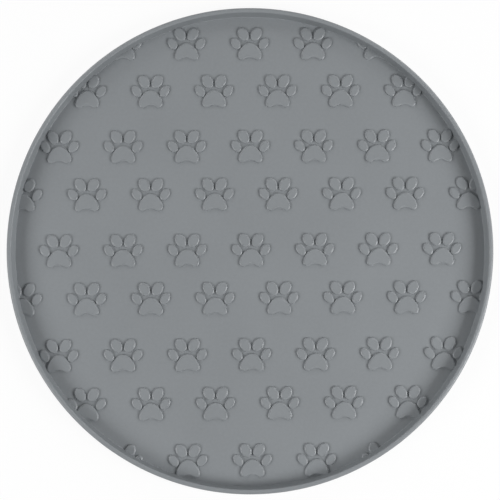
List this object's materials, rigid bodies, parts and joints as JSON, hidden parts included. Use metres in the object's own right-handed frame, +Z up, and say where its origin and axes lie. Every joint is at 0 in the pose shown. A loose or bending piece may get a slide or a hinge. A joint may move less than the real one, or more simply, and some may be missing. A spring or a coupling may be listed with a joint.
{
  "type": "pet feeding mat",
  "caption": "Round silicone feeding mat: a flat sheet inside a raised rim that leans outwards, with staggered rows of raised paw prints, to stand pet bowls on and catch spills.",
  "frame": {"origin": "middle of the underside, on the surface that the mat lies on", "axes": "+Z up, out of the tray; +Y the way that the toes of the paw prints point; +X along the rows of prints"},
  "size_m": [0.3999, 0.4, 0.014],
  "materials": {
    "grey_silicone": "matte moulded silicone, cool mid grey, with a very fine even mould grain"
  },
  "bodies": {
    "root": {"floor_sheet": "grey_silicone", "raised_rim": "grey_silicone", "heel_pads_1": "grey_silicone", "heel_pads_2": "grey_silicone", "heel_pads_3": "grey_silicone", "heel_pads_4": "grey_silicone", "heel_pads_5": "grey_silicone", "heel_pads_6": "grey_silicone", "heel_pads_7": "grey_silicone", "heel_pads_8": "grey_silicone", "heel_pads_9": "grey_silicone", "toes_1": "grey_silicone", "toes_2": "grey_silicone", "toes_3": "grey_silicone", "toes_4": "grey_silicone", "toes_5": "grey_silicone", "toes_6": "grey_silicone", "toes_7": "grey_silicone", "toes_8": "grey_silicone", "toes_9": "grey_silicone"}
  },
  "joints": []
}
